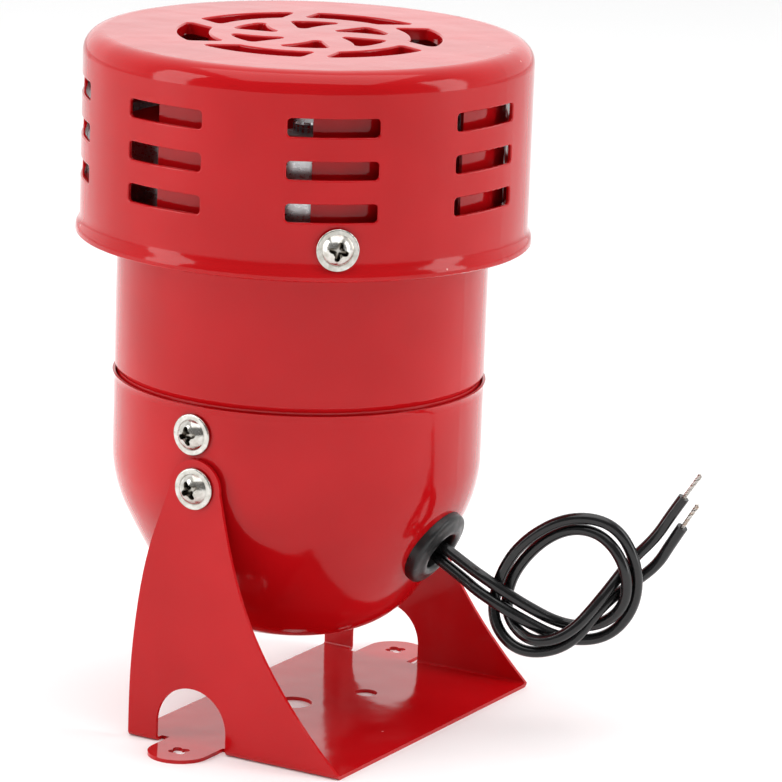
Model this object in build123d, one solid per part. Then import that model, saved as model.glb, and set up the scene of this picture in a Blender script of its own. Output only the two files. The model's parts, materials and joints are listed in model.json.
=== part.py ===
from build123d import *
import os
from math import atan2, cos, degrees, hypot, pi, radians, sin, tan

# Miniature motor siren on a tilting U bracket.
# Millimetres, +Z up. The origin is on the housing's axis, on the underside of the bracket base.
# +X is the side where the leads leave, -Y and +Y are the two bracket arms.

# ---- driving dimensions -------------------------------------------------------------------------
SKIN = 0.6                 # drawn steel of the tube and the cup
PIVOT_Z = 57.3             # tilt axis, along Y
CUP_SCREW_Z = 68.5         # screws that hold the cup to the tube
CUP_SCREW_ANGLES = (-2.5, 177.5)

BASE_X = (-15.2, 37.2)     # bracket base, front to back
SHEET = 0.8                # bracket steel
ARM_Y = 41.4               # outer face of each arm
ARM_TOP_R = 6.2            # rounded top of each arm, about the tilt axis
BEND_R = 1.3               # outer radius of the two folds
PIVOT_HOLE_R = 2.08
ARCH_X = 0.6               # centre of the arched cut in each arm and of the ear bent out of it
ARCH_HALF = 8.7
ARCH_TOP = 13.3
EAR_HALF = 6.7
EAR_END_Y = 52.5
RELIEF_Y = 2.4             # how far the arch is cut back into the base beside each ear
EAR_HOLE_SPAN = 4.7        # cross-shaped hole, end to end
EAR_HOLE_ARM = 2.0
BASE_HOLES = ((2.5, -2.2, 4.1), (11.8, 13.5, 2.5))    # x, y, radius

CUP_R = 40.0               # outer radius of the cup's straight wall
CUP_TOP = 74.8
CUP_FLARE = 0.4
CUP_FLARE_H = 1.6
CUP_SHOULDER_Z = 58.1      # where the straight wall turns inward
CUP_ARCS = ((29.4, 25.8), (155.0, 32.7), (22.0, 90.0))   # radius, slope at the arc's lower end

TUBE_R = 40.0
NECK_R = 39.35             # the tube's lower end is drawn in to fit inside the cup
NECK_Z = (75.4, 76.6)      # the step between neck and tube
TUBE_Z = (62.0, 106.2)
TUBE_FLANGE_R = 34.0

HEAD_R = 48.15             # perforated head cover
HEAD_SKIN = 0.8
HEAD_TOP = 148.7
HEAD_SHOULDER_R = 4.4
LIP_R = 49.0
LIP_Z = 105.4
LIP_FLARE_Z = 110.6
SLOT_ROWS = (119.6, 128.5, 137.4)
SLOT_W = 19.1
SLOT_H = 3.9
SLOT_CORNER = 0.9
SLOT_GROUPS = 8
SLOT_FIRST = 37.6          # middle of the first group, from -Y towards +X
HEAD_SCREW_ANGLES = (39.2, 159.2, 279.2)
HEAD_SCREW_Z = 112.2
HEAD_SEAT_R = 48.52         # the screws' washer faces bear on the start of the flare

GRILLE_SLOTS = 6
RING_R = (21.6, 28.2)      # outer ring of slots, inner and outer radius
RING_INNER_ENDS = (18.0, 64.0)
RING_OUTER_ENDS = (8.0, 57.0)
HOOK_TIP = (5.8, 19.0)     # inner slots: radius and angle of the tip
HOOK_BASE = (16.8, 15.0, -24.0)   # radius, then the two corner angles
GRILLE_LIP = 1.7           # turned-down edge round each grille slot
GRILLE_LIP_T = 0.7

PAN_Z = 106.4              # underside of the head pan
PAN_T = 1.0
PAN_R = 47.3
PAN_TOP = 116.6
TUBE_SCREW_R = 35.6        # circle of the three screws that hold the tube to the pan
TUBE_SCREW_ANGLES = (90, 210, 330)
RIVET_CIRCLE = 41.85       # circle of the three rivets that hold the stator to the pan
RIVET_ANGLES = (30, 150, 270)

SCREW_R = 2.0
FLANGE_R = 4.5             # washer face of every outside screw
FLANGE_T = 0.7
DOME_R = 3.35
HEAD_H = 2.6
CROSS_SPAN = 4.4
CROSS_W = 1.35
CROSS_DEPTH = 1.9
NUT_AF = 7.0
NUT_H = 3.2

SHAFT_R = 3.0
SHAFT_Z = (34.5, 130.0)
BUSH_R = 8.0
CORE_Z = (66.0, 88.0)
FIELD_R = 31.0
FIELD_BORE = 18.4
ARMATURE_R = 17.8
BOLT_Y = 28.3              # through bolts
BOLT_TOP = 110.0
LOWER_PLATE_Z = (42.0, 45.0)
UPPER_PLATE_Z = (103.2, 106.2)
COMMUTATOR_R = 9.0
COMMUTATOR_Z = (48.8, 58.4)
BRUSH_Z = 53.8
BRUSH = (8.0, 5.0, 6.0)    # along the slide, across, high
BRUSH_FACE_R = 9.12
HOLDER_X = (11.6, 26.4)
CAP_T = 0.8

STATOR_R = 44.6
STATOR_TOP = 143.6
STATOR_PORT = (17.3, 116.0, 141.0)     # width, lower and upper edge
STATOR_FIRST = 21.3        # middle of the first port, from -Y towards +X
IMPELLER_R = 42.6
IMPELLER_Z = (110.6, 129.4)
IMPELLER_PORT = (15.0, 113.5, 127.5)
PORTS = 8
VANES = 8
VANE_T = 0.9
VANE_TOP = 127.5
HUB_R = 8.5
HUB_TOP = 122.0
WASHER_T = 0.8

GROMMET_Z = 41.4           # height where the grommet's axis meets the cup's skin
GROMMET_FLANGE_R = 8.8
GROMMET_FLANGE_H = 2.2
GROMMET_NECK_R = 6.2
GROMMET_BORE_R = 4.3
LEAD_D = 2.5
WIRE_D = 1.3

# Route of each lead's free length: the corners of its tangent runs, from the grommet to the cut end.
LEAD_A = (
    (37.5, 0.0, 41.7), (43.7, 0.0, 38.4), (48.5, -0.5, 36.5), (55.5, 3.0, 31.5), (62.5, 9.0, 26.5),
    (70.0, 12.0, 27.0), (76.0, 12.0, 33.0), (76.0, 10.5, 42.0), (70.5, 10.0, 48.0), (63.0, 9.0, 48.5),
    (55.5, 8.0, 43.5), (50.0, 6.5, 35.0), (51.5, 3.5, 27.5), (59.0, 1.5, 23.5), (67.0, 3.5, 26.5),
    (72.0, 9.0, 35.0), (74.5, 15.5, 41.5), (78.5, 19.0, 46.5), (81.5, 20.0, 52.0), (84.0, 20.5, 56.0),
)
LEAD_B = (
    (36.1, 0.0, 39.0), (42.3, 0.0, 35.8), (47.0, -1.0, 33.5), (55.0, 1.5, 29.0), (63.0, 8.0, 23.5),
    (71.0, 13.5, 24.0), (76.5, 15.0, 31.5), (77.5, 13.5, 41.5), (73.0, 11.0, 50.5), (63.5, 7.5, 51.5),
    (54.0, 4.5, 45.0), (49.0, 3.5, 36.0), (49.0, 1.5, 26.5), (56.0, 2.0, 20.5), (66.0, 5.5, 23.0),
    (71.0, 10.5, 32.5), (75.0, 16.5, 36.5), (79.0, 19.5, 40.5), (81.5, 20.5, 45.5), (84.0, 20.5, 49.5),
)
STRIPPED = 6.5             # bare twisted strands beyond the insulation


# ---- helpers ------------------------------------------------------------------------------------
def turned(*points):
    """Solid of revolution about Z from a closed outline of (radius, z) points."""
    return revolve(Plane.XZ * make_face(Polyline(*points, close=True)), Axis.Z)


def ring(outer, inner, low, high):
    """Plain ring about Z."""
    return turned((inner, low), (outer, low), (outer, high), (inner, high))


def disc(radius, low, high):
    """Plain disc about Z."""
    return Pos(0, 0, (low + high) / 2) * Cylinder(radius, high - low)


def polar(radius, angle):
    """Point in the XY plane, angle in degrees from +X."""
    return (radius * cos(radians(angle)), radius * sin(radians(angle)))


def outward(angle, radius, height):
    """Place something built along +Z so that it points out of the housing, angle from -Y to +X."""
    return Rot(0, 0, angle) * Pos(0, -radius, height) * Rot(90, 0, 0)


def save(name, *solids):
    """Write one node: one solid, or a group of separate solids."""
    shape = solids[0] if len(solids) == 1 else Compound(children=list(solids))
    export_step(shape, f"parts/{name}.step")


# ---- fasteners ----------------------------------------------------------------------------------
def washer_screw(shank):
    """Washer-head machine screw: seat at z = 0, shank downwards, domed head upwards."""
    flange = Cylinder(FLANGE_R, FLANGE_T, align=(Align.CENTER, Align.CENTER, Align.MIN))
    flange = fillet(flange.edges().sort_by(Axis.Z)[-1], 0.3)
    rise = HEAD_H - FLANGE_T
    ball_r = (DOME_R ** 2 + rise ** 2) / (2 * rise)
    dome = Pos(0, 0, HEAD_H - ball_r) * Sphere(ball_r)
    dome &= Pos(0, 0, FLANGE_T) * Cylinder(DOME_R, 5, align=(Align.CENTER, Align.CENTER, Align.MIN))
    body = Pos(0, 0, -shank) * Cylinder(SCREW_R, shank, align=(Align.CENTER, Align.CENTER, Align.MIN))
    screw = flange + dome + body
    for turn in (0, 90):
        slot = extrude(RectangleRounded(CROSS_SPAN, CROSS_W, 0.4), amount=-CROSS_DEPTH, taper=14)
        screw -= Rot(0, 0, turn) * Pos(0, 0, HEAD_H + 0.02) * slot
    middle = Cone(0.4, 1.35, CROSS_DEPTH, align=(Align.CENTER, Align.CENTER, Align.MAX))
    return screw - Pos(0, 0, HEAD_H + 0.02) * middle


def hex_nut():
    """Plain hexagon nut standing on z = 0, its upper corners bevelled."""
    nut = extrude(RegularPolygon(NUT_AF / 2, 6, major_radius=False), amount=NUT_H)
    crown = NUT_AF / 2 + 0.15
    bevel = 2.4
    cone = Cone(crown + bevel, crown, bevel, align=(Align.CENTER, Align.CENTER, Align.MIN))
    nut &= Pos(0, 0, NUT_H - bevel) * cone
    return nut - Cylinder(SCREW_R, 3 * NUT_H)


def screw_ring(angles, seat, height, shank, roll=0):
    """The same washer-head screw at several places round the housing."""
    return [outward(a, seat, height) * Rot(0, 0, roll) * washer_screw(shank) for a in angles]


def nut_ring(angles, seat, height):
    """Nuts on the inside of the wall, one at each angle."""
    return [outward(a, seat, height) * Rot(180, 0, 0) * hex_nut() for a in angles]


def impeller_nut():
    """Large nut that clamps the impeller on the shaft."""
    nut = extrude(RegularPolygon(5.0, 6, major_radius=False), amount=4.6)
    return Pos(0, 0, HUB_TOP + WASHER_T) * (nut - Cylinder(SHAFT_R, 12))


# ---- bracket ------------------------------------------------------------------------------------
def arm_outline():
    """Arm seen along Y, from the rounded top down to the full width of the base."""
    right = [(ARM_TOP_R, PIVOT_Z - 0.5), (8.7, 45.7), (13.7, 31.3), (22.4, 17.0), (BASE_X[1], 0.9)]
    left = [(-ARM_TOP_R, PIVOT_Z - 0.5), (-10.6, 44.0), (-14.0, 26.3), (BASE_X[0], 6.0)]
    edges = [
        Spline(*right),
        Line(right[-1], (BASE_X[1], -1)),
        Line((BASE_X[1], -1), (BASE_X[0], -1)),
        Line((BASE_X[0], -1), left[-1]),
        Spline(*left, tangents=[(-0.32, -1), (0, -1)]),
        Line(left[0], (-ARM_TOP_R, PIVOT_Z)),
        ThreePointArc((-ARM_TOP_R, PIVOT_Z), (0, PIVOT_Z + ARM_TOP_R), (ARM_TOP_R, PIVOT_Z)),
        Line((ARM_TOP_R, PIVOT_Z), right[0]),
    ]
    return make_face(edges)


def cross_hole():
    """Two crossed round-ended slots, turned 45 degrees to the bracket."""
    slot = SlotOverall(EAR_HOLE_SPAN, EAR_HOLE_ARM)
    return extrude(Rot(0, 0, 45) * slot + Rot(0, 0, -45) * slot, amount=5, both=True)


def mounting_bracket():
    """Base, two arms and two ears pressed and folded from one sheet."""
    length = BASE_X[1] - BASE_X[0]
    middle = (BASE_X[0] + BASE_X[1]) / 2
    block = Box(length, 2 * ARM_Y, 70, align=(Align.CENTER, Align.CENTER, Align.MIN))
    block = fillet(block.edges().filter_by(Axis.X).group_by(Axis.Z)[0], BEND_R)
    inner = Box(length + 2, 2 * (ARM_Y - SHEET), 80, align=(Align.CENTER, Align.CENTER, Align.MIN))
    inner = fillet(inner.edges().filter_by(Axis.X).group_by(Axis.Z)[0], BEND_R - SHEET)
    channel = Pos(middle, 0, 0) * block - Pos(middle, 0, SHEET) * inner
    channel &= extrude(Plane.XZ * arm_outline(), amount=60, both=True)

    arch_centre = ARCH_TOP - ARCH_HALF
    arch = Box(2 * ARCH_HALF, 30, 2 * arch_centre)
    arch += Pos(0, 0, arch_centre) * Rot(90, 0, 0) * Cylinder(ARCH_HALF, 30)
    ear = Box(2 * EAR_HALF, 20, SHEET, align=(Align.CENTER, Align.MAX, Align.MIN))
    ear += Cylinder(EAR_HALF, SHEET, align=(Align.CENTER, Align.CENTER, Align.MIN))
    ear = Pos(0, EAR_END_Y - EAR_HALF, 0) * (ear - cross_hole())
    root = ARM_Y - RELIEF_Y
    arch = Pos(0, root + 15, 0) * arch
    ear -= Pos(0, root - 15, 0) * Box(40, 30, 10)

    for turn, shift in ((0, ARCH_X), (180, -ARCH_X)):
        place = Rot(0, 0, turn) * Pos(shift, 0, 0)
        channel -= place * arch
        channel += place * ear
    channel -= Pos(0, 0, PIVOT_Z) * Rot(90, 0, 0) * Cylinder(PIVOT_HOLE_R, 2 * ARM_Y + 4)
    for x, y, r in BASE_HOLES:
        channel -= Pos(x, y, 0) * Cylinder(r, 6)
    return channel


# ---- housing shells -----------------------------------------------------------------------------
def cup_arc_ends(inset):
    """Centre, radius, start slope, end slope and end point of each arc down the cup's side."""
    point = (CUP_R - inset, CUP_SHOULDER_Z)
    slope = 0.0
    arcs = []
    for radius, end in CUP_ARCS:
        r = radius - inset
        centre = (point[0] - r * cos(radians(slope)), point[1] + r * sin(radians(slope)))
        point = (centre[0] + r * cos(radians(end)), centre[1] - r * sin(radians(end)))
        arcs.append((centre, r, slope, end, point))
        slope = end
    return arcs


def cup_body(inset):
    """Solid bowl at a depth inside the skin."""
    wall = CUP_R - inset
    knee = (wall, CUP_TOP - CUP_FLARE_H)
    rim = (wall + CUP_FLARE, CUP_TOP)
    edges = [
        Line((0, CUP_TOP), rim),
        TangentArc(knee, rim, tangent=(0, 1)),
        Line(knee, (wall, CUP_SHOULDER_Z)),
    ]
    for centre, r, start, end, point in cup_arc_ends(inset):
        edges.append(CenterArc(centre, r, -start, start - end))
    edges.append(Line(point, (0, point[1])))
    edges.append(Line((0, point[1]), (0, CUP_TOP)))
    return revolve(Plane.XZ * make_face(edges), Axis.Z)


def grommet_seat():
    """Point and outward slope of the cup's skin at the grommet's height."""
    centre, r, start, end, point = cup_arc_ends(0)[1]
    slope = degrees(atan2(centre[1] - GROMMET_Z, (r ** 2 - (centre[1] - GROMMET_Z) ** 2) ** 0.5))
    return centre[0] + r * cos(radians(slope)), slope


def on_grommet():
    """Place something built along +Z on the grommet's axis, z = 0 at the cup's outer skin."""
    x, slope = grommet_seat()
    return Pos(x, 0, GROMMET_Z) * Rot(0, 90 + slope, 0)


def cup_screw_bores():
    """Holes for the screws that join cup and tube."""
    bore = Cylinder(SCREW_R + 0.05, 10)
    return [outward(angle, CUP_R, CUP_SCREW_Z) * bore for angle in CUP_SCREW_ANGLES]


def bottom_cup():
    """Deep bowl with a flared rim, the cable hole in its sloping side and screw holes at the arms."""
    cup = cup_body(0) - cup_body(SKIN)
    cup -= on_grommet() * Cylinder(GROMMET_NECK_R, 8)
    cup -= Pos(0, 0, PIVOT_Z) * Rot(90, 0, 0) * Cylinder(SCREW_R + 0.05, 2 * CUP_R + 4)
    return cup - cup_screw_bores()


def motor_tube():
    """Tube between the cup and the head: drawn-in neck below, inward flange at its top."""
    low, high = TUBE_Z
    step_low, step_high = NECK_Z
    inner = TUBE_R - SKIN
    tube = turned((NECK_R - SKIN, low), (NECK_R, low), (NECK_R, step_low), (TUBE_R, step_high),
                  (TUBE_R, high), (TUBE_FLANGE_R, high), (TUBE_FLANGE_R, high - 1), (inner, high - 1),
                  (inner, step_high), (NECK_R - SKIN, step_low))
    tube -= cup_screw_bores()
    for angle in TUBE_SCREW_ANGLES:
        tube -= Pos(*polar(TUBE_SCREW_R, angle), high) * Cylinder(1.55, 6)
    return tube


def head_body(inset, low):
    """Solid of the head cover at a depth inside its skin."""
    wall = HEAD_R - inset
    top = HEAD_TOP - inset
    lip = LIP_R - inset
    round_r = HEAD_SHOULDER_R - inset
    shoulder = (wall - round_r, top - round_r)
    flare = [(lip, LIP_Z + 1.0), (wall + 0.22, LIP_Z + 2.6), (wall, LIP_FLARE_Z)]
    edges = [
        Line((0, low), (lip, low)),
        Line((lip, low), (lip, LIP_Z + 1.0)),
        Spline(*flare, tangents=[(0, 1), (0, 1)]),
        Line((wall, LIP_FLARE_Z), (wall, shoulder[1])),
        CenterArc(shoulder, round_r, 0, 90),
        Line((shoulder[0], top), (0, top)),
        Line((0, top), (0, low)),
    ]
    return revolve(Plane.XZ * make_face(edges), Axis.Z)


def ring_slot():
    """One curved slot of the grille's outer ring, with slanted ends."""
    inner, outer = RING_R
    a0, a1 = RING_INNER_ENDS
    b0, b1 = RING_OUTER_ENDS
    edges = [
        ThreePointArc(polar(inner, a0), polar(inner, (a0 + a1) / 2), polar(inner, a1)),
        Line(polar(inner, a1), polar(outer, b1)),
        ThreePointArc(polar(outer, b1), polar(outer, (b0 + b1) / 2), polar(outer, b0)),
        Line(polar(outer, b0), polar(inner, a0)),
    ]
    face = make_face(edges)
    return fillet(face.vertices(), 0.9)


def hook_slot():
    """One hooked slot between two of the hub's curved spokes."""
    tip = polar(*HOOK_TIP)
    radius, near, far = HOOK_BASE
    bulge = polar(11.6, -9)
    edges = [
        Line(tip, polar(radius, near)),
        ThreePointArc(polar(radius, near), polar(radius, (near + far) / 2), polar(radius, far)),
        ThreePointArc(polar(radius, far), bulge, tip),
    ]
    face = make_face(edges)
    return fillet(face.vertices(), 1.0)


def rolled_rim(outline):
    """Turned-down edge of one grille slot, rounded where it leaves the top."""
    wall = offset(outline, GRILLE_LIP_T) - outline
    rim = Pos(0, 0, HEAD_TOP) * extrude(wall, amount=-HEAD_SKIN - GRILLE_LIP)
    inner = []
    for edge in rim.edges().group_by(Axis.Z)[-1]:
        if outline.distance_to((edge @ 0.5) - Vector(0, 0, HEAD_TOP)) < 0.05:
            inner.append(edge)
    return fillet(inner, 0.5)


def head_cover():
    """Drawn cap with three rows of slots, a swirl grille in its top and a flared lower lip."""
    cover = head_body(0, LIP_Z) - head_body(HEAD_SKIN, LIP_Z - 1)
    cover = fillet(cover.edges().group_by(Axis.Z)[0], 0.35)
    for angle in HEAD_SCREW_ANGLES:
        cover -= outward(angle, HEAD_R, HEAD_SCREW_Z) * Cylinder(SCREW_R + 0.1, 6)
    punch = extrude(Plane.XZ * RectangleRounded(SLOT_W, SLOT_H, SLOT_CORNER), amount=12)
    punch = Pos(0, 6 - HEAD_R, 0) * punch
    step = 360 / SLOT_GROUPS
    slots = []
    for group in range(SLOT_GROUPS):
        for height in SLOT_ROWS:
            slots.append(Rot(0, 0, SLOT_FIRST + group * step) * Pos(0, 0, height) * punch)
    cover -= slots
    rims = []
    for edge in cover.edges():
        spot = edge @ 0.5
        if SLOT_ROWS[0] - 3 < spot.Z < SLOT_ROWS[-1] + 3 and abs(hypot(spot.X, spot.Y) - HEAD_R) < 0.02:
            rims.append(edge)
    cover = fillet(rims, 0.3)

    for outline in (ring_slot(), hook_slot()):
        rim = rolled_rim(outline)
        blank = Pos(0, 0, HEAD_TOP - 4) * extrude(offset(outline, GRILLE_LIP_T), amount=8)
        turns = [Rot(0, 0, k * 360 / GRILLE_SLOTS) for k in range(GRILLE_SLOTS)]
        cover -= [turn * blank for turn in turns]
        cover += [turn * rim for turn in turns]
    return cover


def head_pan():
    """Dished plate that closes the head from below and carries the motor, stator and cover."""
    low = PAN_Z
    inner = PAN_R - PAN_T
    pan = turned((8.5, low), (PAN_R, low), (PAN_R, PAN_TOP), (inner, PAN_TOP),
                 (inner, low + PAN_T), (8.5, low + PAN_T))
    for angle in HEAD_SCREW_ANGLES:
        pan -= outward(angle, PAN_R, HEAD_SCREW_Z) * Cylinder(SCREW_R + 0.05, 6)
    for angle in TUBE_SCREW_ANGLES:
        pan -= Pos(*polar(TUBE_SCREW_R, angle), low) * Cylinder(1.55, 6)
    for angle in RIVET_ANGLES:
        pan -= Pos(*polar(RIVET_CIRCLE, angle), low) * Cylinder(1.25, 6)
    for side in (-1, 1):
        pan -= Pos(0, side * BOLT_Y, low) * Cylinder(2.1, 6)
    return pan


def tube_screws():
    """Small cheese-head screws down through the pan into the tube's flange."""
    head = Cylinder(2.6, 1.5, align=(Align.CENTER, Align.CENTER, Align.MIN))
    head -= Pos(0, 0, 1.5) * Box(6, 0.7, 1.4)
    screw = head + Cylinder(1.5, 5.0, align=(Align.CENTER, Align.CENTER, Align.MAX))
    return [Pos(*polar(TUBE_SCREW_R, angle), PAN_Z + PAN_T) * screw for angle in TUBE_SCREW_ANGLES]


def tube_nuts():
    """Hexagon nuts under the tube's flange."""
    nut = extrude(RegularPolygon(2.6, 6, major_radius=False), amount=-2)
    nut -= Cylinder(1.5, 8)
    return [Pos(*polar(TUBE_SCREW_R, angle), TUBE_Z[1] - 1.0) * nut for angle in TUBE_SCREW_ANGLES]


def stator_rivets():
    """Flat-head rivets through the stator's flange and the pan."""
    low = PAN_Z
    high = PAN_Z + PAN_T + 1.0
    rivet = disc(1.2, low - 0.8, high + 1.0) + disc(1.7, low - 0.8, low) + disc(1.7, high, high + 1.0)
    return [Pos(*polar(RIVET_CIRCLE, angle), 0) * rivet for angle in RIVET_ANGLES]


# ---- head: ported stator and impeller -----------------------------------------------------------
def stator_ring():
    """Fixed drum with upright ports, standing on the pan on an inward flange."""
    low = PAN_Z + PAN_T
    drum = ring(STATOR_R, STATOR_R - 0.9, low, STATOR_TOP)
    drum += ring(STATOR_R - 0.5, 38.7, low, low + 1.0)
    width, bottom, top = STATOR_PORT
    window = Pos(0, -STATOR_R, (bottom + top) / 2) * Box(width, 6, top - bottom)
    for k in range(PORTS):
        drum -= Rot(0, 0, STATOR_FIRST + k * 360 / PORTS) * window
    for angle in RIVET_ANGLES:
        drum -= Pos(*polar(RIVET_CIRCLE, angle), low) * Cylinder(1.25, 6)
    return drum


def impeller():
    """Ported drum with straight vanes from the hub, pressed and riveted as one wheel."""
    low, high = IMPELLER_Z
    wheel = disc(IMPELLER_R, low, low + 1.0) + ring(IMPELLER_R, IMPELLER_R - 0.9, low, high)
    wheel += disc(HUB_R, low, HUB_TOP)
    width, bottom, top = IMPELLER_PORT
    window = Pos(0, -IMPELLER_R, (bottom + top) / 2) * Box(width, 6, top - bottom)
    inner, outer = HUB_R - 0.5, IMPELLER_R - 0.4
    root = low + 0.5
    vane = Box(outer - inner, VANE_T, VANE_TOP - root)
    vane = Pos((inner + outer) / 2, 0, (root + VANE_TOP) / 2) * vane
    slope = Pos(10, 0, 134.0) * Rot(0, 16, 0) * Box(30, 3, 14)
    vane -= slope
    for k in range(PORTS):
        wheel -= Rot(0, 0, k * 360 / PORTS) * window
    for k in range(VANES):
        wheel += Rot(0, 0, 22.5 + k * 360 / VANES) * Rot(0, 0, -90) * vane
    return wheel - disc(SHAFT_R, low - 5, 130)


# ---- motor --------------------------------------------------------------------------------------
def shaft():
    """Ground steel shaft with a shoulder under the impeller and rounded ends."""
    low, high = SHAFT_Z
    rod = disc(SHAFT_R, low, high)
    rod = chamfer(rod.edges().filter_by(GeomType.CIRCLE), 0.4)
    return rod + disc(4.6, 108.9, 110.5)


def armature_core():
    """Slotted lamination stack."""
    low, high = CORE_Z
    core = disc(ARMATURE_R, low, high)
    for k in range(12):
        slot = Pos(ARMATURE_R - 3.2, 0, (low + high) / 2) * Box(4.4, 3.4, high - low + 2)
        mouth = Pos(ARMATURE_R, 0, (low + high) / 2) * Box(4, 1.2, high - low + 2)
        core -= Rot(0, 0, 30 * k) * (slot + mouth)
    return core - disc(SHAFT_R, low - 1, high + 1)


def winding_ends():
    """Wound copper overhang on each face of the armature, as two rounded rings."""
    coils = []
    for low, high in ((CORE_Z[0] - 6.2, CORE_Z[0] - 0.1), (CORE_Z[1] + 0.1, CORE_Z[1] + 6.2)):
        coil = ring(ARMATURE_R - 1.2, 4.2, low, high)
        edges = coil.edges().filter_by(GeomType.CIRCLE).sort_by(SortBy.RADIUS)[-2:]
        coils.append(fillet(edges, 2.4))
    return coils


def commutator():
    """Twelve copper bars on an insulating hub, cut apart by shallow slots."""
    low, high = COMMUTATOR_Z
    body = disc(COMMUTATOR_R, low, high)
    for k in range(12):
        cut = Pos(COMMUTATOR_R, 0, (low + high) / 2) * Box(1.6, 0.6, high - low + 2)
        body -= Rot(0, 0, 15 + 30 * k) * cut
    return body - disc(SHAFT_R, low - 1, high + 1)


def field_core():
    """Lamination ring with two pole pieces along X."""
    low, high = CORE_Z
    stack = ring(FIELD_R, 25.4, low, high)
    pole = Pos(0, 0, (low + high) / 2) * Box(54, 13, high - low)
    shoe = ring(22.4, FIELD_BORE, low, high) & Pos(0, 0, (low + high) / 2) * Box(60, 27, high - low)
    stack += (pole & disc(FIELD_R - 1, low, high)) + shoe
    stack -= disc(FIELD_BORE, low - 1, high + 1)
    for side in (-1, 1):
        stack -= Pos(0, side * BOLT_Y, (low + high) / 2) * Cylinder(2.1, high - low + 2)
    return stack


def field_coils():
    """One wound coil round each pole piece, curved to lie against the ring."""
    low, high = CORE_Z
    middle = (low + high) / 2
    coil = Pos(20, 0, middle) * Box(16, 22, high - low + 8)
    coil = fillet(coil.edges().filter_by(Axis.X), 3.0)
    coil -= Pos(20, 0, middle) * Box(20, 13.1, high - low + 0.1)
    coil &= ring(25.3, 22.5, low - 9, high + 9)
    return [Rot(0, 0, turn) * coil for turn in (0, 180)]


def lower_bridge():
    """Cast bridge under the motor: boss for the lower bush and two arms to the through bolts."""
    low, high = LOWER_PLATE_Z
    boss = disc(11.5, 36.5, high)
    arms = Pos(0, 0, (low + high) / 2) * Box(11, 2 * BOLT_Y, high - low)
    bridge = boss + arms
    for side in (-1, 1):
        bridge += Pos(0, side * BOLT_Y, 0) * disc(5.0, low, high)
    for side in (-1, 1):
        bridge -= Pos(0, side * BOLT_Y, (low + high) / 2) * Cylinder(2.1, 8)
    return bridge - disc(BUSH_R, 37.5, 60) - disc(SHAFT_R + 1, 30, 60)


def upper_bridge():
    """Cast disc under the pan with a boss for the upper bush."""
    low, high = UPPER_PLATE_Z
    plate = disc(32.0, low, high) + disc(11.5, 95.4, high)
    for side in (-1, 1):
        plate -= Pos(0, side * BOLT_Y, low) * Cylinder(2.1, 12)
    return plate - disc(BUSH_R, 90, 104.2) - disc(SHAFT_R + 1.5, 100, 110)


def bush(low, high):
    """Sintered bronze bush."""
    return ring(BUSH_R, SHAFT_R + 0.08, low, high)


def through_bolts():
    """Two long bolts that clamp bridge, field stack, upper bridge and pan together."""
    bolts = []
    seat = LOWER_PLATE_Z[0]
    for side in (-1, 1):
        head = extrude(RegularPolygon(3.5, 6, major_radius=False), amount=-2.8)
        shank = Cylinder(2.0, BOLT_TOP - seat, align=(Align.CENTER, Align.CENTER, Align.MIN))
        bolts.append(Pos(0, side * BOLT_Y, seat) * (head + shank))
    return bolts


def spacers():
    """Steel sleeves on the through bolts, below and above the field stack."""
    sleeves = []
    for low, high in ((LOWER_PLATE_Z[1], CORE_Z[0]), (CORE_Z[1], UPPER_PLATE_Z[0])):
        for side in (-1, 1):
            sleeves.append(Pos(0, side * BOLT_Y, 0) * ring(3.2, 2.1, low, high))
    return sleeves


def bolt_nuts():
    """Nuts on top of the pan for the through bolts."""
    nut = extrude(RegularPolygon(3.5, 6, major_radius=False), amount=2.4)
    nut -= Cylinder(2.0, 8)
    return [Pos(0, side * BOLT_Y, PAN_Z + PAN_T) * nut for side in (-1, 1)]


# ---- brush gear ---------------------------------------------------------------------------------
def brush_plate():
    """Insulating board on the lower bridge that carries both brush holders."""
    board = ring(26.4, 11.8, 45.0, 47.0)
    for side in (-1, 1):
        board -= Pos(0, side * BOLT_Y, 46) * Cylinder(5.6, 6)
    return board


def brush_holder(side):
    """Square brass guide with a closed outer end, standing on the board on one foot."""
    near, far = HOLDER_X
    wide = BRUSH[1] + 1.9
    high = BRUSH[2] + 1.9
    guide = Pos((near + far) / 2, 0, BRUSH_Z) * Box(far - near, wide, high)
    bore = far - near - CAP_T
    guide -= Pos(near + bore / 2 - 1, 0, BRUSH_Z) * Box(bore + 2, BRUSH[1] + 0.2, BRUSH[2] + 0.2)
    foot_top = BRUSH_Z - high / 2
    guide += Pos((near + far) / 2, 0, (47.0 + foot_top) / 2) * Box(9, wide, foot_top - 47.0)
    return Rot(0, 0, 0 if side > 0 else 180) * guide


def brush(side):
    """Carbon brush, its face hollowed to the commutator."""
    length, wide, high = BRUSH
    block = Pos(BRUSH_FACE_R - 0.3 + length / 2, 0, BRUSH_Z) * Box(length, wide, high)
    block -= disc(BRUSH_FACE_R, 40, 70)
    return Rot(0, 0, 0 if side > 0 else 180) * block


def brush_spring(side):
    """Coil spring between the brush and the closed end of its guide."""
    start = BRUSH_FACE_R - 0.3 + BRUSH[0]
    room = HOLDER_X[1] - CAP_T - start
    wire = 0.5
    turns = 7
    pitch = (room - wire - 0.1) / turns
    path = Helix(pitch=pitch, height=pitch * turns, radius=1.9)
    section = Plane(origin=path @ 0, z_dir=path % 0) * Circle(wire / 2)
    coil = sweep(section, path=path)
    coil = Pos(start + wire / 2 + 0.05, 0, BRUSH_Z) * Rot(0, 90, 0) * coil
    return Rot(0, 0, 0 if side > 0 else 180) * coil


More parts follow.
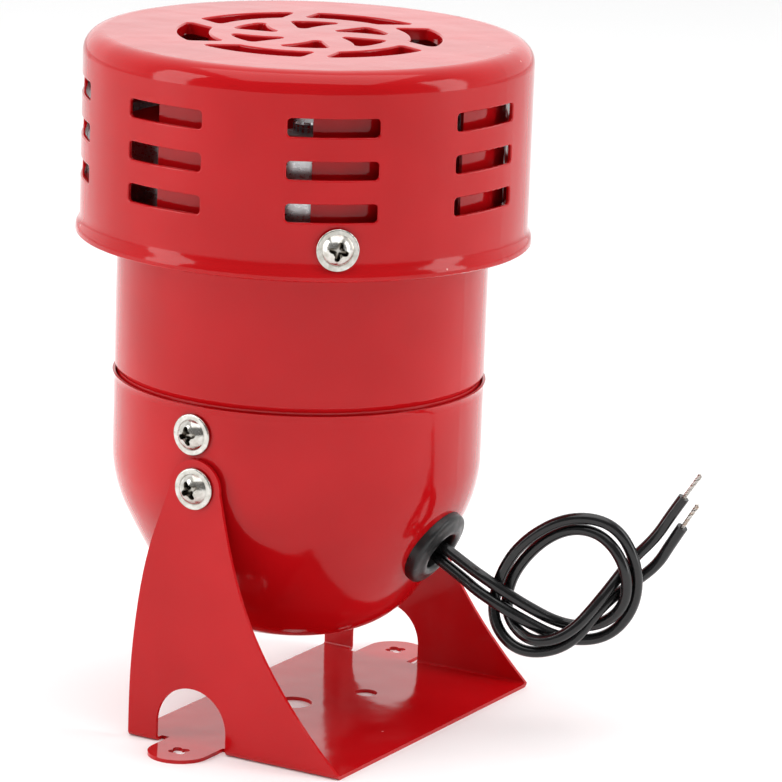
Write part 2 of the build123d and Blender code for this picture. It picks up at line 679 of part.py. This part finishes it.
# ---- grommet and leads --------------------------------------------------------------------------
def cable_grommet():
    """Rubber grommet: domed outer flange bedded on the cup, neck, smaller flange inside."""
    high = GROMMET_FLANGE_H
    edges = [
        Line((GROMMET_BORE_R, -1.4), (GROMMET_FLANGE_R, -1.4)),
        Line((GROMMET_FLANGE_R, -1.4), (GROMMET_FLANGE_R, 0.5)),
        Spline((GROMMET_FLANGE_R, 0.5), (7.0, 1.75), (5.5, high), tangents=[(0, 1), (-1, 0)]),
        Spline((5.5, high), (GROMMET_BORE_R, 1.1), tangents=[(-1, 0), (0, -1)]),
        Line((GROMMET_BORE_R, 1.1), (GROMMET_BORE_R, -1.4)),
    ]
    flange = revolve(Plane.XZ * make_face(edges), Axis.Z)
    neck = ring(GROMMET_NECK_R - 0.05, GROMMET_BORE_R, -3.2, 0.2)
    inside = ring(7.6, GROMMET_BORE_R, -3.4, 0)
    bedded = on_grommet() * flange - cup_body(-0.02)
    retained = on_grommet() * inside & cup_body(SKIN + 0.03)
    return bedded + on_grommet() * neck + retained


def corner_radii(points):
    """0.45 of the shorter run at each corner, over the tangent of half the turn."""
    spots = [Vector(*p) for p in points]
    radii = []
    for before, here, after in zip(spots, spots[1:], spots[2:]):
        run_in = here - before
        run_out = after - here
        half = radians(run_in.get_angle(run_out)) / 2
        radii.append(0.45 * min(run_in.length, run_out.length) / tan(half))
    return radii


def cord(points, diameter, name):
    """Round tube along straight runs joined by tangent arcs."""
    radii = corner_radii(points)
    path = FilletPolyline(*points, radius=radii)
    section = Plane(origin=path @ 0, z_dir=path % 0) * Circle(diameter / 2)
    tube = sweep(section, path=path)
    exact = pi * diameter ** 2 / 4 * path.length
    print(f"{name}: length {path.length:.1f}, radii {min(radii):.1f} to {max(radii):.1f}, "
          f"volume {tube.volume / exact:.4f} of section times length")
    print(f"{name} radii:", " ".join(f"{r:.1f}" for r in radii))
    return tube


def strands(points):
    """Bare twisted core that sticks out of a lead's cut end."""
    tip = Vector(*points[-1])
    along = (tip - Vector(*points[-2])).normalized()
    return Plane(origin=tip, z_dir=along) * Cylinder(
        WIRE_D / 2, STRIPPED, align=(Align.CENTER, Align.CENTER, Align.MIN))


def inner_leads():
    """The same two leads inside the housing, from the grommet's mouth to the brush holders."""
    first = Vector(*LEAD_A[0])
    second = Vector(*LEAD_B[0])
    inward = (first - Vector(*LEAD_A[1])).normalized()
    a1 = first + inward * 9
    b1 = second + inward * 9
    to_near = (tuple(first), tuple(a1), (27.9, -1.5, 49.5), (27.9, -0.5, 53.0))
    to_far = (tuple(second), tuple(b1), (26.5, 7.0, 49.0), (17.0, 18.0, 51.5), (2.0, 21.0, 52.5),
              (-14.0, 17.5, 52.5), (-25.0, 9.0, 52.5), (-28.0, 2.0, 53.5))
    return [cord(to_near, 2.0, "inner lead a"), cord(to_far, 2.0, "inner lead b")]


# ---- build --------------------------------------------------------------------------------------
def main():
    os.makedirs("parts", exist_ok=True)
    sides = (0, 180)
    save("mounting_bracket", mounting_bracket())
    save("bottom_cup", bottom_cup())
    save("motor_tube", motor_tube())
    save("head_cover", head_cover())
    save("head_pan", head_pan())
    save("head_screws", *screw_ring(HEAD_SCREW_ANGLES, HEAD_SEAT_R, HEAD_SCREW_Z, 3.3, roll=-13))
    save("cup_screws", *screw_ring(CUP_SCREW_ANGLES, CUP_R, CUP_SCREW_Z, 4.4, roll=12))
    save("cup_nuts", *nut_ring(CUP_SCREW_ANGLES, NECK_R - SKIN - 0.02, CUP_SCREW_Z))
    save("pivot_screws", *screw_ring(sides, ARM_Y + 0.1, PIVOT_Z, 5.6, roll=30))
    save("pivot_nuts", *nut_ring(sides, CUP_R - SKIN - 0.05, PIVOT_Z))
    washer = ring(5.0, SCREW_R + 0.1, 0, 0.45)
    save("pivot_washers", *[outward(a, CUP_R + 0.05, PIVOT_Z) * washer for a in sides])
    save("tube_screws", *tube_screws())
    save("tube_nuts", *tube_nuts())
    save("stator_ring", stator_ring())
    save("stator_rivets", *stator_rivets())
    save("impeller", impeller())
    save("impeller_washer", ring(7.0, SHAFT_R, HUB_TOP, HUB_TOP + WASHER_T))
    save("impeller_nut", impeller_nut())
    save("shaft", shaft())
    save("armature_core", armature_core())
    save("armature_windings", *winding_ends())
    save("commutator", commutator())
    save("retaining_ring", ring(4.6, SHAFT_R, 35.4, 36.2))
    save("field_core", field_core())
    save("field_coils", *field_coils())
    save("lower_bridge", lower_bridge())
    save("upper_bridge", upper_bridge())
    save("lower_bush", bush(37.5, 44.6))
    save("upper_bush", bush(96.0, 104.2))
    save("through_bolts", *through_bolts())
    save("bolt_spacers", *spacers())
    save("bolt_nuts", *bolt_nuts())
    save("brush_plate", brush_plate())
    for side, name in ((1, "front"), (-1, "rear")):
        save(f"{name}_brush_holder", brush_holder(side))
        save(f"{name}_brush", brush(side))
        save(f"{name}_brush_spring", brush_spring(side))
    save("cable_grommet", cable_grommet())
    save("inner_leads", *inner_leads())
    save("lead_a", cord(LEAD_A, LEAD_D, "lead a"))
    save("lead_b", cord(LEAD_B, LEAD_D, "lead b"))
    save("lead_a_strands", strands(LEAD_A))
    save("lead_b_strands", strands(LEAD_B))


main()
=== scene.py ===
import json
from math import cos, pi, radians, sin

import bpy
from mathutils import Matrix, Vector


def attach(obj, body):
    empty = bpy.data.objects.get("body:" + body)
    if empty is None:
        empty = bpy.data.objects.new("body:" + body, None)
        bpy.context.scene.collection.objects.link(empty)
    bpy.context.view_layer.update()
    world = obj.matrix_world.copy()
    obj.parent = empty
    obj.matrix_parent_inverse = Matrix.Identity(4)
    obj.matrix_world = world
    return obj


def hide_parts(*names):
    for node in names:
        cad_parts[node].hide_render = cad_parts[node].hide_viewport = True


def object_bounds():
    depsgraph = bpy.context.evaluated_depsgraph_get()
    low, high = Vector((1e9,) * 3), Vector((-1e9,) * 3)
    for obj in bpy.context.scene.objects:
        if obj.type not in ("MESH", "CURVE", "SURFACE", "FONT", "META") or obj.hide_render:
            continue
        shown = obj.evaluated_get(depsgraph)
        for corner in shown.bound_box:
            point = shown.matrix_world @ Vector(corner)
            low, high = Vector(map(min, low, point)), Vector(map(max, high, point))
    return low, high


# Small motor siren on a tilting bracket: camera, light, materials, leads and twisted wire ends.
# Metres, +Z up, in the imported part's own frame.

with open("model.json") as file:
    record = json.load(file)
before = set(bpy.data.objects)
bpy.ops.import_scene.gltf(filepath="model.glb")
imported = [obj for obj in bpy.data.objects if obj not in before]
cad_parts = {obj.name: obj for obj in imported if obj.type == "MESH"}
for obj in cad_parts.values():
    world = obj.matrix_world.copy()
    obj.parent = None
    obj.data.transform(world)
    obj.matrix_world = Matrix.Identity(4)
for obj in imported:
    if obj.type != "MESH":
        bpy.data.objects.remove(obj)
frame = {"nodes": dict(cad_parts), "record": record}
cad_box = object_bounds()
NODES = frame["nodes"]
MM = 0.001

# ---- leads: the same routes as the CAD tubes, in millimetres ------------------------------------
LEAD_A = (
    (37.5, 0.0, 41.7), (43.7, 0.0, 38.4), (48.5, -0.5, 36.5), (55.5, 3.0, 31.5), (62.5, 9.0, 26.5),
    (70.0, 12.0, 27.0), (76.0, 12.0, 33.0), (76.0, 10.5, 42.0), (70.5, 10.0, 48.0), (63.0, 9.0, 48.5),
    (55.5, 8.0, 43.5), (50.0, 6.5, 35.0), (51.5, 3.5, 27.5), (59.0, 1.5, 23.5), (67.0, 3.5, 26.5),
    (72.0, 9.0, 35.0), (74.5, 15.5, 41.5), (78.5, 19.0, 46.5), (81.5, 20.0, 52.0), (84.0, 20.5, 56.0),
)
LEAD_B = (
    (36.1, 0.0, 39.0), (42.3, 0.0, 35.8), (47.0, -1.0, 33.5), (55.0, 1.5, 29.0), (63.0, 8.0, 23.5),
    (71.0, 13.5, 24.0), (76.5, 15.0, 31.5), (77.5, 13.5, 41.5), (73.0, 11.0, 50.5), (63.5, 7.5, 51.5),
    (54.0, 4.5, 45.0), (49.0, 3.5, 36.0), (49.0, 1.5, 26.5), (56.0, 2.0, 20.5), (66.0, 5.5, 23.0),
    (71.0, 10.5, 32.5), (75.0, 16.5, 36.5), (79.0, 19.5, 40.5), (81.5, 20.5, 45.5), (84.0, 20.5, 49.5),
)
LEAD_D = 2.5 * MM
LEAD_A_LENGTH = 0.1535
LEAD_B_LENGTH = 0.1674

# ---- bare wires at the leads' ends: six twisted round one ---------------------------------------
STRIPPED = 6.5 * MM            # length beyond the insulation
WIRE_TUCK = 0.8 * MM           # length hidden inside it
WIRES = 7
WIRE_R = 1.05 * MM / 6.6       # three wires across, with room to spread
WIRE_TWIST = 3.4 * pi
WIRE_FRAY = 0.25               # share by which the bundle opens at its tip
WIRE_STAGGER = 0.55 * MM       # how unevenly the wires are cut
WIRE_STEPS = 22

# ---- camera: a three-quarter view from the side of the near arm and the leads ------------------
AIM = Vector((0, 0, 0.075))
AZIMUTH = radians(30.81)
ELEVATION = radians(13.57)
DISTANCE = 1.0423
YAW = radians(-1.10)
PITCH = radians(-0.21)
ROLL = radians(-1.82)
LENS = 221.5

# ---- studio light: strength of the white room beyond the part and behind the camera -------------
ROOM_BACK = 1.25
ROOM_FRONT = 0.22
FRONT_LIFT = 0.2                   # tilts the dim part of the room upward
FRONT_SPAN = (-0.6, 0.8)           # share of facing the camera over which the room dims
FLOOR_HALF = 6.0
SOFTBOX_DISTANCE = 1.2
SOFTBOXES = (                      # name, azimuth and elevation in degrees, width, height, watts
    ("overhead", 30, 80, 1.3, 1.3, 10.5),
    ("left_box", -42, 20, 0.45, 1.1, 6),
    ("right_box", 108, 16, 0.4, 1.1, 5.5),
)


# ---- node helpers -------------------------------------------------------------------------------
class Surface:
    """One procedural material, built up around a Principled shader.

    The colour and roughness given here are the plain ones; colour() and rough() put a pattern over them.
    """

    def __init__(self, name, colour, roughness, metallic=0.0, **constants):
        self.material = bpy.data.materials.new(name)
        self.material.use_nodes = True
        self.tree = self.material.node_tree
        self.shader = self.tree.nodes["Principled BSDF"]
        self.shader.inputs["Base Color"].default_value = (*colour, 1)
        self.shader.inputs["Roughness"].default_value = roughness
        self.shader.inputs["Metallic"].default_value = metallic
        for socket, value in constants.items():
            self.shader.inputs[socket.replace("_", " ")].default_value = value
        self.place = self.add("ShaderNodeTexCoord").outputs["Object"]

    def add(self, kind, **inputs):
        """A node with its inputs set: a link from another node's output, or a plain value."""
        made = self.tree.nodes.new(kind)
        for name, value in inputs.items():
            socket = made.inputs[name.replace("_", " ")]
            if isinstance(value, bpy.types.NodeSocket):
                self.tree.links.new(value, socket)
            else:
                socket.default_value = value
        return made

    def noise(self, size, detail=3.0, roughness=0.5, stretch=None):
        """Noise whose features are about `size` metres across; stretch scales it along x, y, z."""
        place = self.place
        if stretch:
            place = self.add("ShaderNodeMapping", Vector=place, Scale=stretch).outputs["Vector"]
        return self.add("ShaderNodeTexNoise", Vector=place, Scale=1 / size, Detail=detail,
                        Roughness=roughness).outputs["Fac"]

    def ramp(self, value, low, high, start=0.0, end=1.0):
        """Maps value from low..high onto start..end, clamped."""
        return self.add("ShaderNodeMapRange", Value=value, From_Min=low, From_Max=high, To_Min=start,
                        To_Max=end).outputs["Result"]

    def multiply(self, a, b):
        made = self.tree.nodes.new("ShaderNodeMath")
        made.operation = "MULTIPLY"
        for socket, value in zip(made.inputs, (a, b)):
            if isinstance(value, bpy.types.NodeSocket):
                self.tree.links.new(value, socket)
            else:
                socket.default_value = value
        return made.outputs["Value"]

    def mix(self, share, first, second):
        """Colour between first and second by share."""
        made = self.tree.nodes.new("ShaderNodeMix")
        made.data_type = "RGBA"
        self.tree.links.new(share, made.inputs["Factor"])
        colours = [socket for socket in made.inputs if socket.type == "RGBA"]
        for socket, value in zip(colours, (first, second)):
            if isinstance(value, bpy.types.NodeSocket):
                self.tree.links.new(value, socket)
            else:
                socket.default_value = (*value, 1)
        return next(socket for socket in made.outputs if socket.type == "RGBA")

    def colour(self, output):
        self.tree.links.new(output, self.shader.inputs["Base Color"])

    def rough(self, output):
        self.tree.links.new(output, self.shader.inputs["Roughness"])

    def bump(self, height, depth, under=None):
        """Relief of `depth` metres from a 0..1 height; returns a normal that another bump can sit on."""
        made = self.add("ShaderNodeBump", Height=height, Distance=depth, Strength=1.0)
        if under:
            self.tree.links.new(under, made.inputs["Normal"])
        self.tree.links.new(made.outputs["Normal"], self.shader.inputs["Normal"])
        return made.outputs["Normal"]

    def specks(self, spacing, size, share):
        """1 in small round specks: one per cell of `spacing` metres, kept in a share of the cells."""
        cells = self.add("ShaderNodeTexVoronoi", Vector=self.place, Scale=1 / spacing)
        near = self.ramp(cells.outputs["Distance"], size / spacing, 0.7 * size / spacing)
        pick = self.add("ShaderNodeSeparateColor", Color=cells.outputs["Color"]).outputs["Red"]
        return self.multiply(near, self.ramp(pick, share, share - 0.01))

    def crevice(self, reach):
        """1 in open places, 0 deep in recesses about `reach` metres wide: the mask for painted shade."""
        return self.add("ShaderNodeAmbientOcclusion", Distance=reach).outputs["AO"]


# ---- materials ----------------------------------------------------------------------------------
def red_enamel():
    """Sprayed and stoved gloss red: slight orange peel, soft waves, dust specks and a few chips."""
    s = Surface("red_enamel", (0.48, 0.004, 0.006), 0.1, Specular_IOR_Level=0.23,
                Coat_Weight=0.1, Coat_Roughness=0.04)
    cloudy = s.ramp(s.noise(0.03, 2.0), 0.35, 0.65)
    paint = s.mix(cloudy, (0.45, 0.003, 0.005), (0.52, 0.005, 0.008))
    dusty = s.mix(s.specks(0.009, 0.00028, 0.25), paint, (0.78, 0.3, 0.28))
    chipped = s.mix(s.specks(0.021, 0.00042, 0.3), dusty, (0.1, 0.012, 0.012))
    s.colour(chipped)
    s.rough(s.ramp(s.noise(0.012, 4.0), 0.3, 0.7, 0.06, 0.15))
    waves = s.bump(s.noise(0.009, 1.0, 0.4, (1, 1, 0.35)), 0.00014)
    peel = s.bump(s.noise(0.0011, 2.0), 0.000012, waves)
    s.bump(s.specks(0.009, 0.00028, 0.25), 0.00005, peel)
    return s.material


def nickel_screw():
    """Bright nickel plate with fine wear and grime; the cross recess is darkened with painted shade."""
    s = Surface("nickel_screw", (0.82, 0.8, 0.76), 0.2, 1.0)
    # painted shade: ambient occlusion darkens the cross recess and other hollows towards dark brown
    clear_of_painted_shade = s.ramp(s.crevice(0.0012), 0.4, 0.9)
    grime = s.ramp(s.noise(0.0012, 4.0), 0.35, 0.75)
    metal = s.mix(grime, (0.66, 0.64, 0.6), (0.42, 0.4, 0.35))
    s.colour(s.mix(clear_of_painted_shade, (0.1, 0.085, 0.065), metal))
    s.rough(s.ramp(s.noise(0.0007, 3.0), 0.3, 0.7, 0.12, 0.3))
    s.bump(s.noise(0.0006, 2.0), 0.000012)
    return s.material


def plated_steel():
    """Dull zinc plate with its mottled crystals."""
    s = Surface("zinc_steel", (0.62, 0.63, 0.65), 0.34, 1.0)
    s.colour(s.mix(s.ramp(s.noise(0.002, 3.0), 0.35, 0.65), (0.5, 0.51, 0.53), (0.7, 0.71, 0.72)))
    s.rough(s.ramp(s.noise(0.0012, 3.0), 0.3, 0.7, 0.25, 0.45))
    s.bump(s.noise(0.0005, 2.0), 0.00001)
    return s.material


def rolled_sheet(name, dark, light, roughness):
    """Bare rolled sheet: long fine scratches one way, faint handling marks."""
    s = Surface(name, light, roughness, 1.0)
    grain = s.noise(0.0004, 3.0, 0.6, (0.08, 1, 1))
    marks = s.noise(0.014, 3.0)
    s.colour(s.mix(s.ramp(marks, 0.35, 0.7), dark, light))
    s.rough(s.ramp(grain, 0.3, 0.7, roughness - 0.08, roughness + 0.12))
    s.bump(grain, 0.000008)
    return s.material


def sand_cast():
    """Cast aluminium with a fine sand skin."""
    s = Surface("cast_aluminium", (0.5, 0.5, 0.5), 0.55, 1.0)
    s.colour(s.mix(s.ramp(s.noise(0.006, 4.0), 0.3, 0.7), (0.4, 0.4, 0.41), (0.58, 0.58, 0.58)))
    s.bump(s.noise(0.0006, 4.0, 0.7), 0.00006)
    return s.material


def turned_metal(name, colour, roughness, ridge):
    """Turned on a lathe about Z: fine rings of feed marks `ridge` metres apart."""
    s = Surface(name, colour, roughness, 1.0)
    rings = s.noise(ridge, 1.0, 0.5, (0.02, 0.02, 1))
    dull = tuple(0.72 * c for c in colour)
    s.colour(s.mix(s.ramp(s.noise(0.004, 3.0), 0.4, 0.7), colour, dull))
    s.rough(s.ramp(rings, 0.3, 0.7, roughness - 0.07, roughness + 0.1))
    s.bump(rings, 0.000015)
    return s.material


def laminations():
    """Stack of thin electrical sheets, varnished dark."""
    s = Surface("lamination", (0.2, 0.2, 0.21), 0.42, 0.8)
    sheets = s.noise(0.0005, 0.0, 0.5, (0.001, 0.001, 1))
    s.colour(s.mix(s.ramp(sheets, 0.4, 0.6), (0.12, 0.12, 0.13), (0.3, 0.3, 0.31)))
    s.rough(s.ramp(s.noise(0.005, 3.0), 0.3, 0.7, 0.32, 0.55))
    s.bump(sheets, 0.00005)
    return s.material


def copper_winding():
    """Varnished enamelled wire, seen as close turns."""
    s = Surface("copper_winding", (0.5, 0.17, 0.06), 0.3, 0.75, Coat_Weight=0.5)
    turns = s.noise(0.0006, 1.0, 0.5, (0.15, 0.15, 1))
    s.colour(s.mix(s.ramp(turns, 0.35, 0.65), (0.3, 0.08, 0.03), (0.66, 0.27, 0.1)))
    s.rough(s.ramp(s.noise(0.003, 3.0), 0.3, 0.7, 0.22, 0.42))
    s.bump(turns, 0.0001)
    return s.material


def laminate_board():
    """Brown phenolic paper board."""
    s = Surface("board", (0.22, 0.09, 0.03), 0.45)
    fibre = s.noise(0.0008, 4.0, 0.7, (0.25, 1, 1))
    s.colour(s.mix(s.ramp(fibre, 0.3, 0.7), (0.17, 0.065, 0.02), (0.28, 0.125, 0.05)))
    s.rough(s.ramp(fibre, 0.3, 0.7, 0.38, 0.55))
    s.bump(fibre, 0.00001)
    return s.material


def carbon_block():
    """Pressed carbon with a fine sparkle."""
    s = Surface("carbon", (0.025, 0.025, 0.028), 0.55, 0.2)
    grains = s.noise(0.0003, 3.0, 0.7)
    s.colour(s.mix(s.ramp(grains, 0.5, 0.75), (0.018, 0.018, 0.02), (0.09, 0.09, 0.095)))
    s.rough(s.ramp(grains, 0.3, 0.7, 0.45, 0.65))
    s.bump(grains, 0.00002)
    return s.material


def grommet_rubber():
    """Moulded black rubber with a faint bloom."""
    s = Surface("grommet_rubber", (0.012, 0.012, 0.012), 0.34, Specular_IOR_Level=0.45)
    bloom = s.ramp(s.noise(0.003, 4.0), 0.45, 0.75)
    s.colour(s.mix(bloom, (0.009, 0.009, 0.0095), (0.024, 0.023, 0.022)))
    s.rough(s.ramp(s.noise(0.0016, 3.0), 0.3, 0.7, 0.27, 0.44))
    s.bump(s.noise(0.0005, 3.0), 0.000018)
    return s.material


def lead_pvc():
    """Extruded black PVC: glossy, with slight ripples and pale scuffs."""
    s = Surface("lead_pvc", (0.006, 0.006, 0.0065), 0.2)
    scuffs = s.ramp(s.noise(0.0013, 5.0, 0.7), 0.62, 0.75)
    s.colour(s.mix(scuffs, (0.005, 0.005, 0.0055), (0.025, 0.025, 0.027)))
    s.rough(s.ramp(s.noise(0.002, 3.0), 0.3, 0.7, 0.14, 0.28))
    ripple = s.bump(s.noise(0.004, 1.0), 0.0001)
    s.bump(s.noise(0.0006, 2.0), 0.00001, ripple)
    return s.material


def tinned_copper():
    """Fine tinned strands, coppery where the tin is thin."""
    s = Surface("tinned_copper", (0.66, 0.62, 0.55), 0.3, 1.0)
    s.colour(s.mix(s.ramp(s.noise(0.0009, 3.0), 0.45, 0.75), (0.6, 0.58, 0.55), (0.46, 0.36, 0.27)))
    s.rough(s.ramp(s.noise(0.0005, 2.0), 0.3, 0.7, 0.22, 0.4))
    s.bump(s.noise(0.0003, 2.0), 0.00001)
    return s.material


def dress_nodes():
    """Every CAD node takes the finish of its material slot in the record."""
    finishes = {
        "red_enamel": red_enamel(),
        "nickel_screw": nickel_screw(),
        "zinc_steel": plated_steel(),
        "sheet_aluminium": rolled_sheet("sheet_aluminium", (0.55, 0.55, 0.56), (0.75, 0.75, 0.76), 0.3),
        "cast_aluminium": sand_cast(),
        "ground_steel": turned_metal("ground_steel", (0.66, 0.66, 0.67), 0.2, 0.0003),
        "lamination": laminations(),
        "copper_winding": copper_winding(),
        "commutator_copper": turned_metal("commutator_copper", (0.72, 0.34, 0.18), 0.28, 0.0004),
        "bush_bronze": turned_metal("bush_bronze", (0.5, 0.33, 0.15), 0.42, 0.0006),
        "brass": rolled_sheet("brass", (0.6, 0.42, 0.16), (0.78, 0.58, 0.26), 0.3),
        "board": laminate_board(),
        "carbon": carbon_block(),
        "spring_steel": turned_metal("spring_steel", (0.5, 0.51, 0.53), 0.3, 0.0002),
        "grommet_rubber": grommet_rubber(),
        "lead_pvc": lead_pvc(),
        "tinned_copper": tinned_copper(),
    }
    for part in frame["record"]["subparts"]:
        mesh = NODES[part["node"]].data
        mesh.materials.clear()
        mesh.materials.append(finishes[part["material_slot"]])
    return finishes


# ---- leads --------------------------------------------------------------------------------------
def lead(name, route, material):
    """One free lead: a smooth curve on the route's points; the bare wires at its far end come from
    twisted_wires().
    """
    curve = bpy.data.curves.new(name, "CURVE")
    curve.dimensions = "3D"
    curve.bevel_depth = LEAD_D / 2
    curve.bevel_resolution = 6
    curve.resolution_u = 10
    curve.use_fill_caps = True
    spline = curve.splines.new("NURBS")
    spline.points.add(len(route) - 1)
    for point, spot in zip(spline.points, route):
        point.co = (*(c * MM for c in spot), 1)
    spline.order_u = 3
    spline.use_endpoint_u = True
    spline.use_smooth = True
    curve.materials.append(material)
    piece = bpy.data.objects.new(name, curve)
    bpy.context.scene.collection.objects.link(piece)
    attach(piece, "housing")
    return piece


def twisted_wires(name, route, material):
    """Fine wires twisted together beyond the insulation, opening a little at the tip."""
    tip = Vector(route[-1]) * MM
    along = (tip - Vector(route[-2]) * MM).normalized()
    across = along.orthogonal().normalized()
    side = along.cross(across)
    curve = bpy.data.curves.new(name, "CURVE")
    curve.dimensions = "3D"
    curve.bevel_depth = WIRE_R
    curve.bevel_resolution = 3
    curve.resolution_u = 4
    curve.use_fill_caps = True
    for strand in range(WIRES):
        spline = curve.splines.new("NURBS")
        spline.points.add(WIRE_STEPS)
        short = WIRE_STAGGER * ((strand * 3) % WIRES) / WIRES
        for i, point in enumerate(spline.points):
            t = i / WIRE_STEPS
            spread = 0 if strand == 0 else 2 * WIRE_R * (1 + WIRE_FRAY * t ** 3)
            angle = strand * pi / 3 + WIRE_TWIST * t
            spot = tip + along * (t * (STRIPPED - short) - WIRE_TUCK * (1 - t))
            spot += (across * cos(angle) + side * sin(angle)) * spread
            point.co = (*spot, 1)
        spline.order_u = 3
        spline.use_endpoint_u = True
        spline.use_smooth = True
    curve.materials.append(material)
    piece = bpy.data.objects.new(name, curve)
    bpy.context.scene.collection.objects.link(piece)
    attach(piece, "housing")
    return piece


def build_leads(finishes):
    for letter, route, length in (("a", LEAD_A, LEAD_A_LENGTH), ("b", LEAD_B, LEAD_B_LENGTH)):
        wires = twisted_wires(f"lead_{letter}_wires", route, finishes["tinned_copper"])
        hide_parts(f"lead_{letter}_strands")
        cable = lead(f"lead_{letter}_cable", route, finishes["lead_pvc"])
        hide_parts(f"lead_{letter}")


# ---- studio -------------------------------------------------------------------------------------
def floor():
    """Large flat pale floor under the part."""
    mesh = bpy.data.meshes.new("floor")
    corners = ((-1, -1), (1, -1), (1, 1), (-1, 1))
    ground = cad_box[0].z
    mesh.from_pydata([(x * FLOOR_HALF, y * FLOOR_HALF, ground) for x, y in corners], [], [(0, 1, 2, 3)])
    surface = Surface("floor", (0.97, 0.97, 0.97), 0.8)
    surface.colour(surface.mix(surface.noise(0.2, 3.0), (0.965, 0.965, 0.965), (0.975, 0.975, 0.975)))
    mesh.materials.append(surface.material)
    piece = bpy.data.objects.new("floor", mesh)
    bpy.context.scene.collection.objects.link(piece)


def softbox(name, azimuth, elevation, width, height, power):
    """Rectangular light aimed at the middle of the part; azimuth from -Y towards +X, in degrees."""
    data = bpy.data.lights.new(name, "AREA")
    data.shape = "RECTANGLE"
    data.size = width
    data.size_y = height
    data.energy = power
    light = bpy.data.objects.new(name, data)
    a, e = radians(azimuth), radians(elevation)
    back = Vector((sin(a) * cos(e), -cos(a) * cos(e), sin(e)))
    light.location = AIM + back * SOFTBOX_DISTANCE
    light.rotation_mode = "QUATERNION"
    light.rotation_quaternion = (-back).to_track_quat("-Z", "Y")
    bpy.context.scene.collection.objects.link(light)


def studio():
    """White room, dim behind the camera so that the enamel keeps its depth, and the softboxes."""
    world = bpy.data.worlds.new("studio")
    world.use_nodes = True
    tree = world.node_tree
    background = tree.nodes["Background"]
    background.inputs["Color"].default_value = (1, 1, 1, 1)
    front = tree.nodes.new("ShaderNodeVectorMath")
    front.operation = "DOT_PRODUCT"
    front.inputs[1].default_value = (sin(AZIMUTH), -cos(AZIMUTH), FRONT_LIFT)
    direction = tree.nodes.new("ShaderNodeTexCoord").outputs["Generated"]
    tree.links.new(direction, front.inputs[0])
    dim = tree.nodes.new("ShaderNodeMapRange")
    dim.interpolation_type = "SMOOTHSTEP"
    dim.inputs["From Min"].default_value, dim.inputs["From Max"].default_value = FRONT_SPAN
    dim.inputs["To Min"].default_value = ROOM_BACK
    dim.inputs["To Max"].default_value = ROOM_FRONT
    tree.links.new(front.outputs["Value"], dim.inputs["Value"])
    tree.links.new(dim.outputs["Result"], background.inputs["Strength"])
    bpy.context.scene.world = world
    for box in SOFTBOXES:
        softbox(*box)


def camera():
    """Camera aimed at the middle of the part, with its small pointing and roll corrections."""
    back = Vector((sin(AZIMUTH) * cos(ELEVATION), -cos(AZIMUTH) * cos(ELEVATION), sin(ELEVATION)))
    turn = Matrix.Rotation(AZIMUTH, 4, "Z") @ Matrix.Rotation(pi / 2 - ELEVATION, 4, "X")
    turn = turn @ Matrix.Rotation(YAW, 4, "Y") @ Matrix.Rotation(PITCH, 4, "X")
    turn = turn @ Matrix.Rotation(-ROLL, 4, "Z")
    data = bpy.data.cameras.new("camera")
    data.lens = LENS
    data.clip_start = 0.05
    data.clip_end = 50
    eye = bpy.data.objects.new("camera", data)
    eye.matrix_world = Matrix.Translation(AIM + back * DISTANCE) @ turn
    bpy.context.scene.collection.objects.link(eye)
    bpy.context.scene.camera = eye


build_leads(dress_nodes())
floor()
studio()
camera()
bpy.context.scene.view_settings.view_transform = "Standard"
